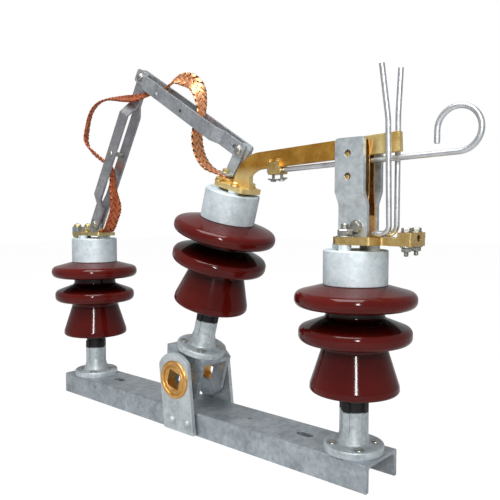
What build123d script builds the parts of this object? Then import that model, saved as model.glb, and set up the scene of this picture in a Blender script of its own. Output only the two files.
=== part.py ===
from build123d import *
import math
import os

# One pole of an 11 kV air-break disconnect switch with a rocking centre post, shown closed.
# X runs along the base channel towards the jaw, Y goes away from the front, Z is up.
# The origin is in the middle of the channel's web, on the face that the posts stand on. Sizes in millimetres.

# Base channel
channel_length = 645.0
channel_width = 75.0
channel_height = 34.5
web_thickness = 4.5
flange_thickness = 6.0
channel_outer_radius = 2.5
slot_spacing = 412.0
slot_length = 26.0
slot_width = 11.0
web_hole_x = 107.0
web_hole_diameter = 7.0

# Post insulators, heights from the underside of the foot flange
post_height = 254.0
foot_radius = 38.5
foot_thickness = 9.0
foot_hole_circle = 56.0
foot_hole_diameter = 9.0
foot_hole_angle = 45.0
stem_radius = 16.5
stem_flare = 5.0
stem_rib_width = 9.0
stem_rib_reach = 2.3
cap_radius = 40.5
cap_height = 43.5
cap_wall = 6.5
cap_edge_radius = 2.0
top_shed_radius = 76.6
top_shed_drop = 16.8
low_shed_radius = 71.1
shed_spacing = 44.1
shed_rim_radius = 9.0
waist_radius = 37.0
bell_radius = 57.0
bell_rim_height = 76.0
bell_wall = 9.0
socket_depth = 48.0
cement_gap = 0.3
left_post_x = -278.0
right_post_x = 282.0

# Rocking centre post
closed_tilt = 15.75
pivot_x = -7.0
pivot_height = 46.0
pivot_to_foot = 43.0
rocker_thickness = 7.0
rocker_front_reach = 38.0
rocker_back_reach = 46.0
rocker_corner_run = 12.0
rocker_corner_drop = 6.0
ear_reach = 36.0
ear_gap = 46.0
ear_thickness = 6.0
ear_nose_radius = 38.5

# Bearing plates and bushes
packing_thickness = 2.5
packing_width = 50.0
bearing_thickness = 6.0
bearing_width = 65.0
bearing_lean = 6.5
bearing_foot_drop = 32.5
bearing_shoulder_rise = 24.0
bearing_top_rise = 41.0
bush_flange_radius = 29.0
bush_flange_thickness = 1.5
bush_barrel_radius = 25.0
hub_radius = 22.0
hub_inset = 0.5
shaft_hole = 25.5
running_gap = 0.3

# Fittings on the caps
left_boss_height = 5.0
centre_boss_height = 4.0
right_boss_height = 7.0
boss_radius = 8.0
boss_circle = 50.0

# Left terminal
left_plate_thickness = 6.0
left_plate_width = 40.0
left_plate_reach = 40.0
left_plate_tail = 46.0
left_tail_pad = 4.0
left_pad_length = 12.0
keeper_length = 18.0
left_keeper_height = 9.0
right_keeper_height = 6.5
conductor_radius = 4.0
anchor_thickness = 6.0

# Linkage, its pivots placed from the left post, the left plate and the centre post
foot_pivot_offset = 10.0
foot_pivot_rise = 15.0
apex_offset = 149.5
apex_rise = 260.0
head_pivot_offset = 2.0
head_pivot_rise = 61.0
link_width = 21.5
link_thickness = 4.0
link_end = 10.75
upper_link_overhang = 12.0
link_corner = 4.0
lower_front_spread = 15.0
lower_rear_spread = 7.0
upper_front_spread = 16.0
upper_rear_spread = 5.3
lower_joggle_run = 19.0
upper_joggle_run = 12.0
pin_radius = 4.0
pin_clearance = 0.15
spacer_radius = 4.0
slot_travel = 8.4
slot_side_play = 0.6
head_lug_thickness = 10.0
head_lug_radius = 10.0
head_lug_foot_thickness = 3.0

# Blade
blade_height = 23.5
blade_thickness = 9.0
blade_tip_reach = 56.0
blade_slope = 2.85
blade_neck_reach = 39.33
blade_neck_offset = 11.0
blade_neck_angle = 64.6
blade_bend_radius = 40.0
blade_plate_offset = 7.0
blade_plate_length = 58.0
blade_plate_width = 46.0
blade_plate_thickness = 7.0
blade_pad_length = 20.0
blade_pad_width = 27.0
blade_pad_height = 6.0

# Moving horn
rod_radius = 4.0
horn_slope = 2.0
horn_tail_reach = 147.0
horn_clamp_reach = 164.0
horn_clamp_length = 20.0
horn_clamp_width = 18.0
horn_clamp_height = 17.0
curl_reach = 70.0
curl_radius = 25.0
curl_tail = 15.0

# Jaw on the right post
right_bar_thickness = 9.5
right_bar_width = 62.0
right_bar_start = 19.5
right_pad_reach = 36.0
right_neck_reach = 54.0
right_bar_reach = 84.0
right_neck_width = 28.0
right_clamp_width = 38.0
jaw_width = 40.0
jaw_offset_x = 4.0
jaw_plate_thickness = 6.0
jaw_top_rise = 9.8
jaw_low_gap = 18.0
jaw_high_gap = 36.0
jaw_step_height = 39.0
jaw_step_run = 16.0
jaw_hole_diameter = 9.0
jaw_hole_drops = (19.0, 46.5)
leaf_thickness = 2.0
leaf_width = 36.0
leaf_blade_gap = 0.35
leaf_top_drop = 2.0
leaf_mouth = 3.0
leaf_mouth_drop = 14.0

# Fixed horn
fixed_horn_offset = 50.0
fixed_horn_front_gap = 13.0
fixed_horn_rear_gap = 11.5
fixed_horn_lean = 3.0
fixed_horn_rise = 202.5
fixed_horn_bend = 10.0
horn_flare_rise = 138.5
horn_flare_radius = 60.0
front_flare = 6.0
rear_flare = 5.0

# Copper braid
braid_width = 25.0
braid_thickness = 3.5
braid_seat = 10.0
braid_steps = 60
first_split = 7
second_split = 26

tilt = math.radians(closed_tilt)


def polar(radius, degrees):
    """Point at an angle measured from the first axis."""
    angle = math.radians(degrees)
    return radius * math.cos(angle), radius * math.sin(angle)


def rounded_face(corners):
    """Flat face whose corners are (x, y, radius)."""
    face = make_face(Polyline(*[(x, y) for x, y, _ in corners], close=True))
    for radius in sorted({corner[2] for corner in corners if corner[2]}):
        spots = [Vector(x, y) for x, y, r in corners if r == radius]
        picked = [v for v in face.vertices() if min((Vector(v.X, v.Y) - s).length for s in spots) < 0.01]
        face = fillet(picked, radius)
    return face


def front_prism(face, y_from, y_to):
    """Extrude a face drawn in X and Z between two Y values."""
    placed = Plane.XZ.offset(-y_from) * face
    return extrude(placed, -(y_to - y_from))


def bar_y(radius, x, z, y_from, y_to):
    """Round bar along Y."""
    return front_prism(Pos(x, z) * Circle(radius), y_from, y_to)


centre_frame = (
    Pos(pivot_x, 0, pivot_height) * Rot(0, closed_tilt, 0) * Pos(0, 0, pivot_to_foot)
)
left_frame = Pos(left_post_x, 0, 0)
right_frame = Pos(right_post_x, 0, 0)


def from_centre(x, z):
    """World x and z of a point given in the centre post's own frame."""
    rise = pivot_to_foot + z
    return (
        pivot_x + x * math.cos(tilt) + rise * math.sin(tilt),
        pivot_height - x * math.sin(tilt) + rise * math.cos(tilt),
    )


def base_channel():
    half = channel_width / 2
    inner = half - flange_thickness
    floor = -channel_height
    outline = rounded_face([
        (-half, floor, 0), (-half, 0, channel_outer_radius), (half, 0, channel_outer_radius),
        (half, floor, 0), (inner, floor, 1.5), (inner, -web_thickness, 4.0),
        (-inner, -web_thickness, 4.0), (-inner, floor, 1.5),
    ])
    channel = extrude(Plane.YZ * outline, channel_length / 2, both=True)
    for side in (-1, 1):
        slot = Pos(side * slot_spacing / 2, 0) * SlotOverall(slot_length, slot_width)
        channel -= extrude(slot, 2 * web_thickness, both=True)
    channel -= Pos(web_hole_x, 0) * Cylinder(web_hole_diameter / 2, 3 * web_thickness)
    for post_x in (left_post_x, right_post_x):
        for spot in PolarLocations(foot_hole_circle / 2, 4, foot_hole_angle):
            channel -= Pos(post_x, 0) * spot * Cylinder(foot_hole_diameter / 2, 3 * web_thickness)
    return channel


def post_foot():
    """Cast flange with a ribbed stem that runs up into the porcelain."""
    stem_top = bell_rim_height + socket_depth
    profile = rounded_face([
        (0, 0, 0), (foot_radius, 0, 0), (foot_radius, foot_thickness, 2.0),
        (stem_radius + stem_flare, foot_thickness, stem_flare), (stem_radius, foot_thickness + 22, 8.0),
        (stem_radius, stem_top, 1.5), (0, stem_top, 0),
    ])
    foot = revolve(Plane.XZ * profile, Axis.Z)
    rib_top = bell_rim_height - 12
    for quarter in range(4):
        rib = Box(stem_radius + stem_rib_reach, stem_rib_width, rib_top, align=(Align.MIN, Align.CENTER, Align.MIN))
        foot += Rot(0, 0, 90 * quarter) * rib
    for spot in PolarLocations(foot_hole_circle / 2, 4, foot_hole_angle):
        foot -= spot * Cylinder(foot_hole_diameter / 2, 3 * foot_thickness)
    return foot


def post_porcelain():
    """Glazed body: a bell skirt and two thick sheds on a core."""
    socket_top = bell_rim_height + socket_depth
    socket_radius = stem_radius + cement_gap
    cap_floor = post_height - cap_height
    head_radius = cap_radius - cap_wall - cement_gap
    high_middle = cap_floor - top_shed_drop
    low_middle = high_middle - shed_spacing
    low_top = low_middle + shed_rim_radius
    low_under = low_middle - shed_rim_radius
    high_top = high_middle + shed_rim_radius
    high_under = high_middle - shed_rim_radius
    profile = rounded_face([
        (0, socket_top, 0),
        (socket_radius, socket_top, 0),
        (socket_radius, bell_rim_height + 26, 4.0),
        (bell_radius - bell_wall, bell_rim_height, 3.0),
        (bell_radius, bell_rim_height, 4.0),
        (bell_radius - 1, bell_rim_height + 9, 6.0),
        (waist_radius + 3, low_under - 6, 5.0),
        (low_shed_radius, low_under - 1, shed_rim_radius - 0.6),
        (low_shed_radius, low_top - 2, shed_rim_radius - 0.6),
        (waist_radius, low_top + 11, 6.0),
        (waist_radius, high_under - 2, 4.0),
        (top_shed_radius, high_under - 2, shed_rim_radius),
        (top_shed_radius, high_top - 2, shed_rim_radius),
        (cap_radius - 1, cap_floor, 0),
        (head_radius, cap_floor, 0),
        (head_radius, post_height - cap_wall, 0),
        (0, post_height - cap_wall, 0),
    ])
    return revolve(Plane.XZ * profile, Axis.Z)


def post_cap(boss_height, turn):
    """Cast cup cemented over the porcelain head, with four bosses on top."""
    profile = rounded_face([
        (cap_radius - cap_wall, post_height - cap_height, 0),
        (cap_radius, post_height - cap_height, 1.0),
        (cap_radius, post_height, cap_edge_radius),
        (0, post_height, 0),
        (0, post_height - cap_wall, 0),
        (cap_radius - cap_wall, post_height - cap_wall, 0),
    ])
    cap = revolve(Plane.XZ * profile, Axis.Z)
    for spot in PolarLocations(boss_circle / 2, 4, turn):
        boss = Cylinder(boss_radius, boss_height, align=(Align.CENTER, Align.CENTER, Align.MIN))
        cap += Pos(0, 0, post_height) * spot * boss
    return cap


def bearing_plate(side):
    """Leaning upright outside a channel flange, with a packing strip behind it and a round head."""
    lean = math.radians(bearing_lean)
    half = bearing_width / 2
    drop = pivot_height + bearing_foot_drop

    def foot_corner(across):
        return across, -(drop + across * math.sin(lean)) / math.cos(lean)

    outline = make_face([
        Line((-half, bearing_shoulder_rise), foot_corner(-half)),
        Line(foot_corner(-half), foot_corner(half)),
        Line(foot_corner(half), (half, bearing_shoulder_rise)),
        ThreePointArc((half, bearing_shoulder_rise), (0, bearing_top_rise), (-half, bearing_shoulder_rise)),
    ])
    outline -= Circle(bush_barrel_radius)
    inner = channel_width / 2 + packing_thickness
    plate = front_prism(outline, *sorted((side * inner, side * (inner + bearing_thickness))))
    strip_top = -pivot_height - flange_thickness
    strip_low = -(drop - 2)
    strip_height = strip_top - strip_low
    strip = Pos(-strip_low * math.tan(lean), strip_low + strip_height / 2) * Rectangle(packing_width, strip_height)
    packing = front_prism(strip, *sorted((side * channel_width / 2, side * inner)))
    placed = Pos(pivot_x, 0, pivot_height)
    return placed * Rot(0, -bearing_lean, 0) * plate + placed * packing


def bush(side):
    """Flanged ring pressed into a bearing plate."""
    plate_in = channel_width / 2 + packing_thickness
    plate_out = plate_in + bearing_thickness
    flange_out = plate_out + bush_flange_thickness
    flange = bar_y(bush_flange_radius, pivot_x, pivot_height, *sorted((side * plate_out, side * flange_out)))
    barrel = bar_y(bush_barrel_radius, pivot_x, pivot_height, *sorted((side * plate_in, side * plate_out)))
    bore = bar_y(hub_radius + running_gap, pivot_x, pivot_height, -2 * channel_width, 2 * channel_width)
    return flange + barrel - bore


def shaft_cut():
    """Square through hole that turns with the centre post."""
    square = Rectangle(shaft_hole, shaft_hole)
    cut = front_prism(square, -2 * channel_width, 2 * channel_width)
    return Pos(pivot_x, 0, pivot_height) * Rot(0, closed_tilt, 0) * cut


def hub(side):
    """Round hub of an ear, running in the bush and bored square for the operating shaft."""
    ear_out = ear_gap / 2 + ear_thickness
    face = channel_width / 2 + packing_thickness + bearing_thickness + bush_flange_thickness - hub_inset
    outer = bar_y(hub_radius, pivot_x, pivot_height, *sorted((side * ear_out, side * face)))
    return outer - shaft_cut()


def rocker_bracket():
    """Inverted U under the centre post: a top plate with an ear each side of the pivot."""
    ear_out = ear_gap / 2 + ear_thickness
    back = -rocker_back_reach
    top_face = make_face(Polyline(
        (back, -rocker_corner_drop), (back + rocker_corner_run, 0), (rocker_front_reach, 0),
        (rocker_front_reach, -rocker_thickness), (back, -rocker_thickness), close=True
    ))
    top = front_prism(top_face, -ear_out, ear_out)
    nose_front = polar(ear_nose_radius, -math.degrees(math.acos(ear_reach / ear_nose_radius)))
    nose_back = polar(ear_nose_radius, 212)
    ear_face = make_face([
        Line((back, -rocker_corner_drop), (back + rocker_corner_run, 0)),
        Line((back + rocker_corner_run, 0), (ear_reach, 0)),
        Line((ear_reach, 0), (nose_front[0], nose_front[1] - pivot_to_foot)),
        ThreePointArc(
            (nose_front[0], nose_front[1] - pivot_to_foot), (0, -pivot_to_foot - ear_nose_radius),
            (nose_back[0], nose_back[1] - pivot_to_foot)
        ),
        Line((nose_back[0], nose_back[1] - pivot_to_foot), (back, -rocker_thickness)),
        Line((back, -rocker_thickness), (back, -rocker_corner_drop)),
    ])
    bracket = top
    for side in (-1, 1):
        bracket += front_prism(ear_face, *sorted((side * ear_gap / 2, side * ear_out)))
    for spot in PolarLocations(foot_hole_circle / 2, 4, foot_hole_angle):
        bracket -= spot * Cylinder(foot_hole_diameter / 2, 3 * rocker_thickness)
    return centre_frame * bracket - shaft_cut()


def keeper_groove(x, z):
    """Round groove along X for the line conductor, as long as the keeper."""
    return Pos(x, 0, z) * Rot(0, 90, 0) * Cylinder(conductor_radius, keeper_length)


left_plate_top = post_height + left_boss_height + left_plate_thickness
left_clamp_x = left_post_x - left_plate_tail + keeper_length / 2
foot_pivot_x = left_post_x + foot_pivot_offset
foot_pivot_z = left_plate_top + foot_pivot_rise
right_bar_top = post_height + right_boss_height + right_bar_thickness
right_clamp_x = right_post_x + right_bar_reach - keeper_length / 2
head_pivot_x, head_pivot_z = from_centre(head_pivot_offset, post_height + head_pivot_rise)


def left_plate():
    start = left_post_x - left_plate_tail
    end = left_post_x + left_plate_reach
    outline = Pos((start + end) / 2, 0) * RectangleRounded(end - start, left_plate_width, 6)
    plate = Pos(0, 0, left_plate_top - left_plate_thickness) * extrude(outline, left_plate_thickness)
    pad = Pos(start, 0, left_plate_top - left_plate_thickness - left_tail_pad) * Box(
        left_pad_length, left_plate_width - 8, left_tail_pad, align=(Align.MIN, Align.CENTER, Align.MIN)
    )
    return plate + pad - keeper_groove(left_clamp_x, left_plate_top)


def keeper(x, seat_z, width, height):
    """Clamp bar with a matching groove, bolted down on its seat."""
    block = Pos(x, 0, seat_z) * Box(
        keeper_length, width, height, align=(Align.CENTER, Align.CENTER, Align.MIN)
    )
    block = fillet(block.edges().filter_by(Axis.Z), 2.0)
    return block - keeper_groove(x, seat_z)


def link_anchor():
    """Upright lug on the left terminal that the lower link swings on."""
    z = foot_pivot_z
    base = left_plate_top
    half = link_width / 2
    outline = make_face([
        Line((foot_pivot_x - half, base), (foot_pivot_x + half, base)),
        Line((foot_pivot_x + half, base), (foot_pivot_x + half - 2, z)),
        ThreePointArc((foot_pivot_x + half - 2, z), (foot_pivot_x, z + half - 2), (foot_pivot_x - half + 2, z)),
        Line((foot_pivot_x - half + 2, z), (foot_pivot_x - half, base)),
    ])
    outline -= Pos(foot_pivot_x, z) * Circle(pin_radius + pin_clearance)
    return front_prism(outline, -anchor_thickness / 2, anchor_thickness / 2)


def right_bar():
    x = right_post_x
    half = right_bar_width / 2
    neck = right_neck_width / 2
    clamp = right_clamp_width / 2
    outline = rounded_face([
        (x - right_bar_start, -half, 14), (x + right_pad_reach, -half, 5), (x + right_neck_reach - 10, -neck, 4),
        (x + right_neck_reach, -neck, 1.5), (x + right_neck_reach, -clamp, 2.5), (x + right_bar_reach, -clamp, 3),
        (x + right_bar_reach, clamp, 3), (x + right_neck_reach, clamp, 2.5), (x + right_neck_reach, neck, 1.5),
        (x + right_neck_reach - 10, neck, 4), (x + right_pad_reach, half, 5), (x - right_bar_start, half, 14),
    ])
    bar = Pos(0, 0, right_bar_top - right_bar_thickness) * extrude(outline, right_bar_thickness)
    return bar - keeper_groove(right_clamp_x, right_bar_top)


jaw_x = right_post_x + jaw_offset_x
plate_floor = post_height + centre_boss_height
slope = math.radians(blade_slope)
neck = math.radians(blade_neck_angle)
neck_start = from_centre(blade_neck_offset, plate_floor + blade_plate_thickness / 2)
blade_corner = (
    neck_start[0] + blade_neck_reach * math.cos(neck), neck_start[1] + blade_neck_reach * math.sin(neck)
)
blade_tip_x = jaw_x + blade_tip_reach


def blade_line(x):
    """Height of the blade's centre line at x along its straight reach."""
    return blade_corner[1] + (x - blade_corner[0]) * math.tan(slope)


jaw_height = blade_line(jaw_x) + jaw_top_rise - right_bar_top


def jaw_profile(side):
    """Section of a jaw plate in Y and Z: upright, stepped outwards, upright again."""
    low = jaw_low_gap / 2
    high = jaw_high_gap / 2
    step_top = jaw_step_height + jaw_step_run
    inner = [(low, 0), (low, jaw_step_height), (high, step_top), (high, jaw_height)]
    outer = [(y + jaw_plate_thickness, z) for y, z in reversed(inner)]
    return make_face(Polyline(*[(side * y, right_bar_top + z) for y, z in inner + outer], close=True))


def jaw_plate(side):
    plate = extrude(Plane.YZ.offset(jaw_x) * jaw_profile(side), jaw_width / 2, both=True)
    top_edges = plate.edges().filter_by(Axis.Y).group_by(Axis.Z)[-1]
    plate = chamfer(top_edges, 3.0)
    for drop in jaw_hole_drops:
        hole_z = right_bar_top + jaw_height - drop
        plate -= bar_y(jaw_hole_diameter / 2, jaw_x - 2, hole_z, -jaw_width, jaw_width)
    return plate


def jaw_block():
    """Block bolted between the feet of the jaw plates."""
    block = Box(
        jaw_width - 6, jaw_low_gap - 2 * leaf_thickness, 26, align=(Align.CENTER, Align.CENTER, Align.MIN)
    )
    return Pos(jaw_x, 0, right_bar_top) * block


def contact_leaf(side):
    """Spring strip that rises from the block and leans in to press on the blade."""
    low = jaw_low_gap / 2 - leaf_thickness
    blade_face = blade_thickness / 2 + leaf_blade_gap
    path = [
        (low, 0), (low, jaw_step_height), (blade_face, jaw_step_height + jaw_step_run),
        (blade_face, jaw_height - leaf_mouth_drop), (blade_face + leaf_mouth, jaw_height - leaf_top_drop),
    ]
    back = [(y + leaf_thickness, z) for y, z in reversed(path)]
    outline = make_face(Polyline(*[(side * y, right_bar_top + z) for y, z in path + back], close=True))
    return extrude(Plane.YZ.offset(jaw_x) * outline, leaf_width / 2, both=True)


def rod_along(points, radii):
    """Round rod on straight runs joined by tangent arcs."""
    path = FilletPolyline(*points, radius=radii)
    section = Plane(origin=path @ 0, z_dir=path % 0) * Circle(rod_radius)
    return sweep(section, path=path)


def horn_fixed():
    """Fork of round rod: two upright prongs joined by a loop lying on the terminal bar."""
    floor = right_bar_top + rod_radius
    x = right_post_x + fixed_horn_offset
    back = x - 2.05 * fixed_horn_bend
    flare_z = right_bar_top + horn_flare_rise
    tip_z = right_bar_top + fixed_horn_rise
    points = [
        (x - front_flare, -fixed_horn_front_gap - front_flare, tip_z),
        (x, -fixed_horn_front_gap, flare_z),
        (x + fixed_horn_lean, -fixed_horn_front_gap, floor),
        (back, -fixed_horn_front_gap, floor),
        (back, fixed_horn_rear_gap, floor),
        (x, fixed_horn_rear_gap, floor),
        (x, fixed_horn_rear_gap, flare_z + fixed_horn_bend),
        (x, fixed_horn_rear_gap + rear_flare, tip_z),
    ]
    return rod_along(points, [horn_flare_radius] + 4 * [fixed_horn_bend] + [horn_flare_radius])


plate_top = plate_floor + blade_plate_thickness
pad_top = plate_top + blade_pad_height
plate_left = blade_plate_offset - blade_plate_length / 2


def blade():
    """Brass casting: a plate on the cap and a bar on edge that bends over towards the jaw."""
    plate = Pos(blade_plate_offset, 0, plate_floor) * extrude(
        RectangleRounded(blade_plate_length, blade_plate_width, 7), blade_plate_thickness
    )
    pad = Pos(plate_left, 0, plate_top) * Box(
        blade_pad_length, blade_pad_width, blade_pad_height, align=(Align.MIN, Align.CENTER, Align.MIN)
    )
    lean = math.radians(90 - blade_neck_angle - closed_tilt)
    right_face = blade_neck_offset + blade_height / 2
    web_rise = blade_height
    web = make_face(Polyline(
        (right_face - blade_height / 2, plate_top), (right_face + 10, plate_top),
        (right_face + web_rise * math.tan(lean), plate_top + web_rise), close=True
    ))
    base = centre_frame * (plate + pad + front_prism(web, -blade_thickness / 2, blade_thickness / 2))
    tip = (blade_tip_x, blade_line(blade_tip_x))
    path = FilletPolyline(*[(x, 0, z) for x, z in (neck_start, blade_corner, tip)], radius=blade_bend_radius)
    section_plane = Plane(origin=path @ 0, x_dir=(0, 1, 0), z_dir=path % 0)
    bar = sweep(section_plane * Rectangle(blade_thickness, blade_height), path=path)
    return base + bar


horn_slope_angle = math.radians(horn_slope)
horn_tail_x = pivot_x + horn_tail_reach
horn_clamp_x = pivot_x + horn_clamp_reach
curl_x = blade_tip_x + curl_reach
rod_drop = blade_height / 2 + rod_radius + 0.2
rod_tail_z = blade_line(horn_tail_x) - rod_drop / math.cos(slope)


def rod_line(x):
    """Height of the moving horn's centre line where it runs under the blade."""
    return rod_tail_z + (x - horn_tail_x) * math.tan(horn_slope_angle)


def horn_moving():
    """Round rod clamped under the blade, ending past the jaw in an upturned curl."""
    start = Vector(horn_tail_x, 0, rod_line(horn_tail_x))
    low = Vector(curl_x, 0, rod_line(curl_x))
    centre = low + Vector(-math.sin(horn_slope_angle), 0, math.cos(horn_slope_angle)) * curl_radius

    def on_curl(degrees):
        across, up = polar(curl_radius, degrees - 90 + horn_slope)
        return centre + Vector(across, 0, up)

    run = Line(start, low)
    first = ThreePointArc(low, on_curl(67), on_curl(134))
    second = ThreePointArc(on_curl(134), on_curl(200), on_curl(267))
    tail = Line(on_curl(267), on_curl(267) + Vector(0, 0, -curl_tail))
    path = Wire([run, first, second, tail])
    section = Plane(origin=start, z_dir=(low - start)) * Circle(rod_radius)
    return sweep(section, path=path)


def horn_clamp():
    """Brass saddle under the blade that grips the rod."""
    seat = blade_line(horn_clamp_x)
    top = seat - blade_height / 2 + 7
    block = Box(horn_clamp_length, horn_clamp_width, horn_clamp_height)
    block = Pos(horn_clamp_x, 0, top - horn_clamp_height / 2) * Rot(0, -blade_slope, 0) * block
    along_blade = Pos(horn_clamp_x, 0, seat) * Rot(0, -blade_slope, 0)
    blade_cut = along_blade * Box(3 * horn_clamp_length, blade_thickness + 0.2, blade_height + 0.1)
    along_rod = Pos(horn_clamp_x, 0, rod_line(horn_clamp_x)) * Rot(0, 90 - horn_slope, 0)
    rod_cut = along_rod * Cylinder(rod_radius + 0.1, 3 * horn_clamp_length)
    return block - blade_cut - rod_cut


lug_foot_floor = pad_top + braid_thickness
lug_foot_top = lug_foot_floor + head_lug_foot_thickness


def link_lug():
    """Bracket bolted over the braid's end on the blade's pad, with the upper link's eye."""
    rise = post_height + head_pivot_rise
    x = head_pivot_offset
    base_right = plate_left + blade_pad_length - 1
    foot_plate = Pos(plate_left, 0, lug_foot_floor) * Box(
        base_right - plate_left, blade_pad_width - 5, head_lug_foot_thickness,
        align=(Align.MIN, Align.CENTER, Align.MIN)
    )
    eye = head_lug_radius
    outline = make_face([
        Line((plate_left + 3, lug_foot_floor), (base_right, lug_foot_floor)),
        Line((base_right, lug_foot_floor), (x + eye, rise)),
        ThreePointArc((x + eye, rise), (x, rise + eye), (x - eye, rise)),
        Line((x - eye, rise), (plate_left + 3, lug_foot_top + 1)),
        Line((plate_left + 3, lug_foot_top + 1), (plate_left + 3, lug_foot_floor)),
    ])
    web = front_prism(outline, -head_lug_thickness / 2, head_lug_thickness / 2)
    bore = bar_y(pin_radius + pin_clearance, x, rise, -head_lug_thickness, head_lug_thickness)
    return centre_frame * (foot_plate + web - bore)


foot = Vector(foot_pivot_x, 0, foot_pivot_z)
apex = Vector(left_post_x + apex_offset, 0, left_plate_top + apex_rise)
head = Vector(head_pivot_x, 0, head_pivot_z)


def link_frame(start, end):
    """Frame of a link: X from pivot to pivot, Y across the pair, Z over its width."""
    along = (end - start).normalized()
    return Plane(origin=start, x_dir=along, z_dir=(-along.Z, 0, along.X))


def link_strip(start, end, side, faces, spread, ends, runs, joggle, corners, holes, far_slot=0.0):
    """Joggled flat with a pivot hole at each end; faces, ends, runs and holes are given near and far."""
    length = (end - start).length
    inner = [
        (-ends[0], faces[0]), (runs[0], faces[0]), (runs[0] + joggle, spread),
        (length - runs[1] - joggle, spread), (length - runs[1], faces[1]), (length + ends[1], faces[1]),
    ]
    outer = [(x, y + link_thickness) for x, y in reversed(inner)]
    plan = make_face(Polyline(*[(x, side * y) for x, y in inner + outer], close=True))
    strip = extrude(plan, link_width / 2, both=True)
    half = link_width / 2
    face = rounded_face([
        (-ends[0], -half, corners[0]), (length + ends[1], -half, corners[1]),
        (length + ends[1], half, corners[1]), (-ends[0], half, corners[0]),
    ])
    face -= Circle(holes[0])
    if far_slot:
        slot = SlotOverall(far_slot + 2 * holes[1] + slot_side_play, 2 * holes[1] + slot_side_play)
        face -= Pos(length - far_slot / 2, 0) * slot
    else:
        face -= Pos(length, 0) * Circle(holes[1])
    strip = strip & front_prism(face, -channel_width, channel_width)
    return link_frame(start, end) * strip


loose_hole = pin_radius + pin_clearance
round_end = link_width / 2 - 0.5
lower_spreads = {-1: lower_front_spread, 1: lower_rear_spread}
upper_spreads = {-1: upper_front_spread, 1: upper_rear_spread}


def lower_strip(side):
    faces = (anchor_thickness / 2 + running_gap, 0.0)
    return link_strip(
        foot, apex, side, faces, lower_spreads[side], (link_end, link_end), (37.5, 47.0), lower_joggle_run,
        (round_end, link_corner), (pin_radius, pin_radius)
    )


def upper_strip(side):
    faces = (link_thickness + running_gap, head_lug_thickness / 2 + running_gap)
    return link_strip(
        apex, head, side, faces, upper_spreads[side], (upper_link_overhang, link_end), (14.0, 38.0), upper_joggle_run,
        (link_corner, link_corner), (loose_hole, loose_hole), slot_travel
    )


def cross_pin(point, half_length):
    """Pin along Y through the strips of a link."""
    return bar_y(pin_radius, point.X, point.Z, -half_length, half_length)


def beside(start, end, share, across):
    """Point at a share of the way along a link and some distance to its upper side."""
    along = end - start
    normal = Vector(-along.Z, 0, along.X).normalized()
    return start + along * share + normal * across


def spacer_at(start, end, spreads, share, drop=0.0):
    """Round spacer between the two strips of a link."""
    point = beside(start, end, share, -drop)
    return bar_y(spacer_radius, point.X, point.Z, -spreads[-1], spreads[1])


def braid_stops():
    """Stops of the braid from the left terminal to the blade: point, width, turn about its run.

    The tables follow the two links: share of the link's length, the same share measured across it,
    then the place in Y and the width as shares of the full width, and the turn in degrees.
    """
    end_x = left_post_x + left_plate_reach
    lie_z = left_plate_top + braid_thickness / 2
    full = braid_width
    stops = [
        (Vector(end_x - braid_seat, 0, lie_z), full, 0),
        (Vector(end_x, 0, lie_z), full, 0),
    ]
    along_lower = [
        (0.106, -0.132, 0, 1, 0), (0.165, -0.131, 0, 1, 0), (0.207, -0.118, -0.04, 0.95, 0),
        (0.249, -0.09, -0.1, 0.75, 0), (0.3, -0.053, -0.16, 0.62, 0), (0.355, -0.02, -0.16, 0.55, 5),
        (0.392, 0.015, -0.16, 0.55, 15), (0.403, 0.062, -0.12, 0.65, 30), (0.395, 0.121, -0.06, 0.8, 38),
        (0.388, 0.233, 0, 0.95, 41), (0.396, 0.327, 0, 0.95, 38), (0.424, 0.37, 0, 0.93, 36),
        (0.478, 0.39, 0, 0.93, 37), (0.542, 0.402, 0, 0.93, 40), (0.596, 0.402, 0, 0.92, 40),
        (0.675, 0.367, 0, 0.9, 32), (0.733, 0.299, -0.04, 0.84, 22), (0.775, 0.223, -0.12, 0.8, 18),
        (0.813, 0.131, -0.28, 0.75, 30), (0.849, 0.037, -0.44, 0.6, 55), (0.894, -0.055, -0.44, 0.6, 60),
        (0.926, -0.095, -0.32, 0.6, 48),
    ]
    along_upper = [
        (0.142, -0.051, -0.24, 0.6, 32), (0.197, -0.012, -0.24, 0.6, 20), (0.239, 0.015, -0.24, 0.6, 20),
        (0.274, 0.071, -0.18, 0.65, 36), (0.303, 0.118, -0.08, 0.85, 46), (0.352, 0.143, -0.04, 0.95, 64),
        (0.404, 0.157, 0, 1, 74), (0.454, 0.159, 0, 1, 55), (0.509, 0.141, -0.04, 1, 30),
        (0.571, 0.095, -0.12, 0.85, 14), (0.612, 0.047, -0.2, 0.66, 12), (0.626, 0.008, -0.24, 0.64, 12),
        (0.631, -0.041, -0.24, 0.68, 10), (0.65, -0.096, -0.16, 0.9, 4), (0.687, -0.155, -0.06, 1, 0),
        (0.753, -0.199, 0, 1, 0), (0.838, -0.21, 0, 1, 0), (0.889, -0.199, 0, 1, 0),
    ]
    for start, end, table in ((foot, apex, along_lower), (apex, head, along_upper)):
        reach = (end - start).length
        for share, across, aside, width, turn in table:
            point = beside(start, end, share, across * reach) + Vector(0, aside * full, 0)
            stops.append((point, full * width, turn))
    for across in (plate_left, plate_left + blade_pad_length / 3, plate_left + 2 * blade_pad_length / 3):
        x, z = from_centre(across, pad_top + braid_thickness / 2)
        stops.append((Vector(x, 0, z), full, 0))
    return stops


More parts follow.
